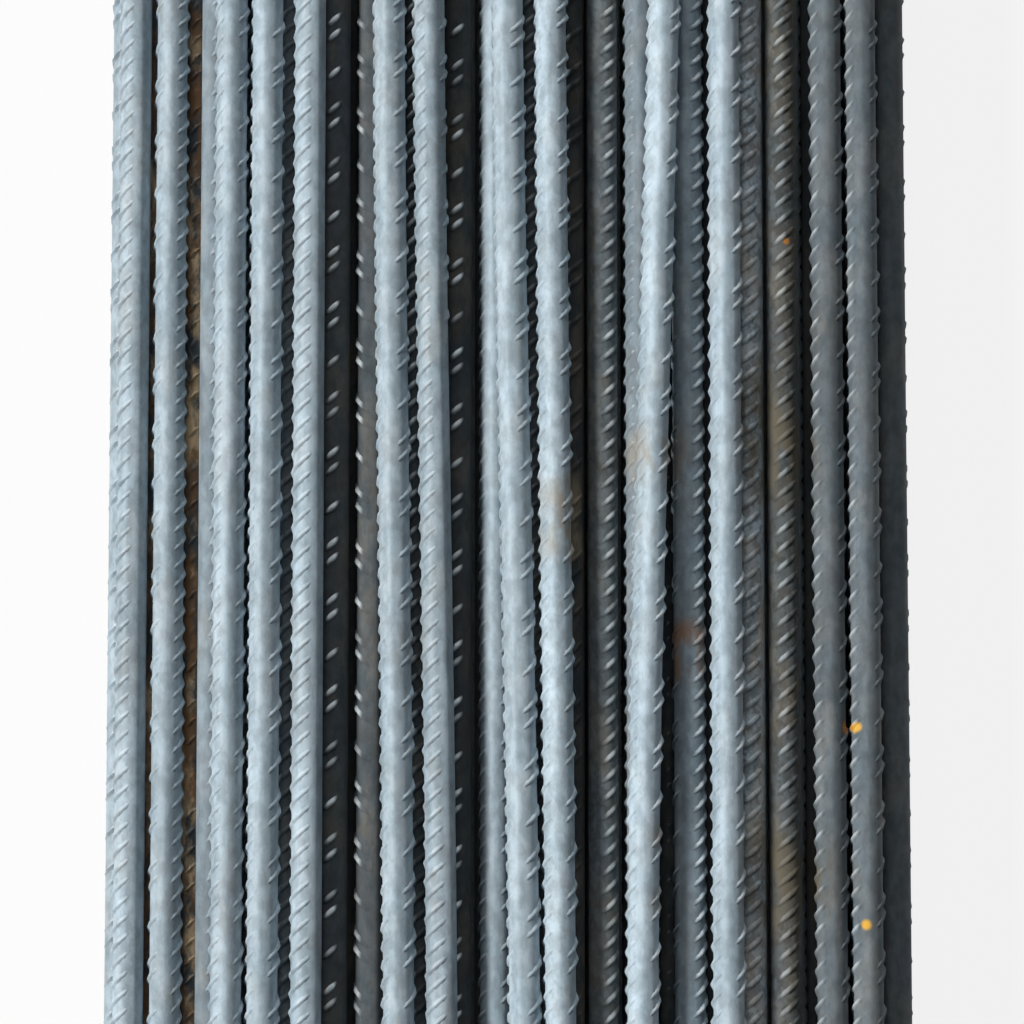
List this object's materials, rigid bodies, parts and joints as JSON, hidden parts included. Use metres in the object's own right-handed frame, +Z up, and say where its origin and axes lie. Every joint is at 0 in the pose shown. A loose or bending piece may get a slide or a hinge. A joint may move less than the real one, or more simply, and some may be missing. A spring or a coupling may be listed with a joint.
{
  "type": "rebar bundle",
  "caption": "Tied bundle of ribbed steel reinforcing bars lying in uneven rows, held together by twisted wire ties, ready for cutting and fixing in concrete.",
  "frame": {"origin": "centre of the bundle's underside, on the floor", "axes": "+Y along the bars, +X across them to the right of the picture, +Z up"},
  "size_m": [0.3094, 3.0288, 0.0844],
  "materials": {
    "bar_steel": "blue-grey mill scale, half glossy, with dust and a little rust",
    "tie_wire": "dark annealed wire, dull"
  },
  "bodies": {
    "root": {"bars_row_1": "bar_steel", "bars_row_2": "bar_steel", "bars_row_3": "bar_steel", "bars_row_4": "bar_steel", "bed_bars": "bar_steel", "top_bars": "bar_steel", "bowed_bars": "bar_steel", "wire_ties": "tie_wire"}
  },
  "joints": []
}
